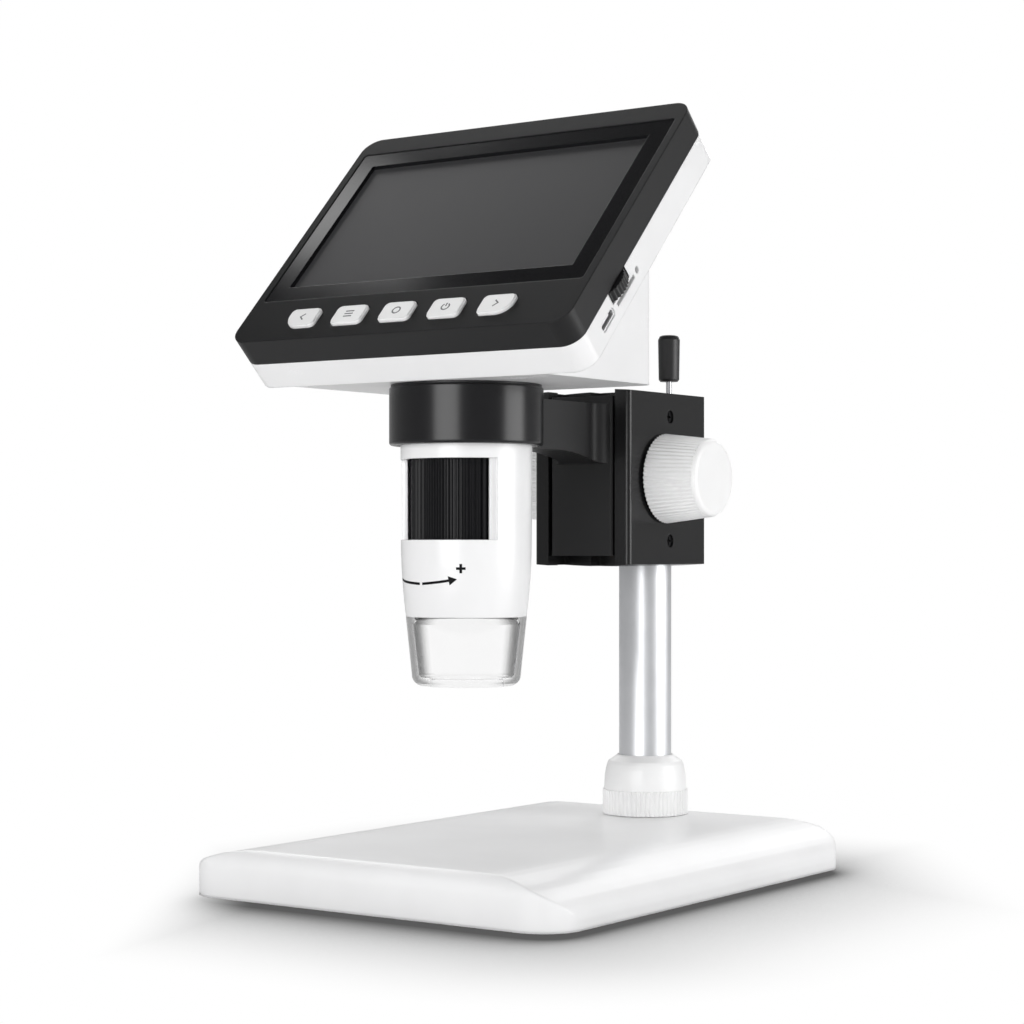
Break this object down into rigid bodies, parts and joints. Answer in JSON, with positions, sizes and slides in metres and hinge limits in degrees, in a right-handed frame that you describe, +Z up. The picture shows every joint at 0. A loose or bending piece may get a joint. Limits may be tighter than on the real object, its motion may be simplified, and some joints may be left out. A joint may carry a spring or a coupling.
{
  "type": "lcd digital microscope",
  "caption": "Digital microscope: tilted screen head with buttons, barrel with focus wheel and clear cap, on a rack-and-pinion bracket, post and flat base.",
  "frame": {"origin": "centre of the base's footprint, on the surface the feet stand on", "axes": "+X to the viewer's right, +Y away from the viewer towards the post, +Z up"},
  "size_m": [0.123, 0.1578, 0.2173],
  "materials": {
    "white_gloss": "gloss white",
    "white_satin": "satin white",
    "black_matte": "fine matte black",
    "black_gloss": "semi-gloss black",
    "screen_glass": "gloss black glass",
    "screen": "dark screen",
    "aluminium": "satin anodised",
    "steel": "plain steel",
    "brass": "machined brass",
    "rubber": "matte",
    "grey_plastic": "matte grey",
    "board": "solder mask",
    "battery": "shrink sleeve",
    "lens": "clear",
    "lamp": "clear epoxy",
    "clear": "clear acrylic"
  },
  "bodies": {
    "base": {"base_shell": "white_gloss", "base_cover": "grey_plastic", "ballast_plate": "steel", "base_feet": "rubber", "base_screws": "steel", "post_socket": "aluminium", "post_tube": "aluminium", "post_plug": "aluminium", "post_bolt": "steel", "post_cap": "black_matte", "post_collet": "black_matte"},
    "hand_nut": {"post_nut": "white_satin"},
    "bush": {"post_bush": "black_gloss"},
    "bracket": {"bracket_body": "black_gloss", "bracket_clamp": "black_gloss", "bracket_side": "black_gloss", "bracket_screws": "steel"},
    "clamp_lever": {"lever_screw": "steel", "lever_rod": "steel", "lever_grip": "black_matte"},
    "carriage": {"carriage": "black_gloss", "collar": "black_gloss", "rack": "brass"},
    "focus_shaft": {"pinion_shaft": "steel", "knob_right": "white_satin", "knob_left": "white_satin", "knob_washers": "black_matte"},
    "liner": {"collar_liner": "black_gloss"},
    "head": {"bezel": "black_matte", "screen_border": "screen_glass", "lcd_panel": "screen", "main_board": "board", "key_board": "board", "head_shell": "white_gloss", "head_screws": "steel", "port_board": "board", "usb_socket": "steel", "card_socket": "steel", "battery_cell": "battery", "battery_cradle": "black_matte", "barrel_shell": "white_gloss", "barrel_ring": "aluminium", "lens_guide": "black_matte", "sensor_board": "board", "lamp_board": "board", "lamps": "lamp", "clear_cap": "clear"},
    "button_1": {"button_1": "white_satin"},
    "button_2": {"button_2": "white_satin"},
    "button_3": {"button_3": "white_satin"},
    "button_4": {"button_4": "white_satin"},
    "button_5": {"button_5": "white_satin"},
    "dimmer": {"dimmer_wheel": "black_matte"},
    "focus_wheel": {"focus_wheel": "black_gloss"},
    "lens": {"lens_cell": "aluminium", "objective_lens": "lens"}
  },
  "joints": [
    {"name": "nut_turn", "type": "hinge", "parent": "base", "child": "hand_nut", "pos_m": [0, 0.0624, 0.0148], "axis": [0, 0, 1], "range_deg": [0, 360]},
    {"name": "bracket_height", "type": "slide", "parent": "base", "child": "bush", "axis": [0, 0, 1], "range_m": [-0.028, 0.01]},
    {"name": "bracket_swing", "type": "hinge", "parent": "bush", "child": "bracket", "pos_m": [0, 0.0624, 0.1168], "axis": [0, 0, 1], "continuous": true},
    {"name": "lever_turn", "type": "hinge", "parent": "bracket", "child": "clamp_lever", "pos_m": [0, 0.0624, 0.128], "axis": [0, 1, 0], "range_deg": [0, 135]},
    {"name": "carriage_slide", "type": "slide", "parent": "bracket", "child": "carriage", "axis": [0, 0, 1], "range_m": [-0.015, 0.015]},
    {"name": "focus_knob_turn", "type": "hinge", "parent": "bracket", "child": "focus_shaft", "pos_m": [0, 0.0463, 0.1168], "axis": [1, 0, 0], "range_deg": [-240, 240]},
    {"name": "head_turn", "type": "hinge", "parent": "carriage", "child": "liner", "pos_m": [0, -0.0306, 0.1243], "axis": [0, 0, 1], "range_deg": [-60, 60]},
    {"name": "head_lift", "type": "slide", "parent": "liner", "child": "head", "axis": [0, 0, 1], "range_m": [0, 0.085]},
    {"name": "dimmer_turn", "type": "hinge", "parent": "head", "child": "dimmer", "pos_m": [0.049, -0.04171, 0.16498], "axis": [0, -0.7193, 0.6947], "range_deg": [-140, 140]},
    {"name": "magnification_turn", "type": "hinge", "parent": "head", "child": "focus_wheel", "pos_m": [0, -0.0306, 0.10945], "axis": [0, 0, 1], "range_deg": [-110, 110]},
    {"name": "lens_slide", "type": "slide", "parent": "head", "child": "lens", "axis": [0, 0, 1], "range_m": [-0.004, 0.004]},
    {"name": "button_1_press", "type": "slide", "parent": "head", "child": "button_1", "axis": [0, 0.7193, -0.6947], "range_m": [0, 0.0006], "stiffness_N_per_m": 2500},
    {"name": "button_2_press", "type": "slide", "parent": "head", "child": "button_2", "axis": [0, 0.7193, -0.6947], "range_m": [0, 0.0006], "stiffness_N_per_m": 2500},
    {"name": "button_3_press", "type": "slide", "parent": "head", "child": "button_3", "axis": [0, 0.7193, -0.6947], "range_m": [0, 0.0006], "stiffness_N_per_m": 2500},
    {"name": "button_4_press", "type": "slide", "parent": "head", "child": "button_4", "axis": [0, 0.7193, -0.6947], "range_m": [0, 0.0006], "stiffness_N_per_m": 2500},
    {"name": "button_5_press", "type": "slide", "parent": "head", "child": "button_5", "axis": [0, 0.7193, -0.6947], "range_m": [0, 0.0006], "stiffness_N_per_m": 2500}
  ],
  "couplings": [
    {"joint": "focus_knob_turn", "follows": "carriage_slide", "rad_per_m": -277.78},
    {"joint": "magnification_turn", "follows": "lens_slide", "rad_per_m": 436.33}
  ]
}
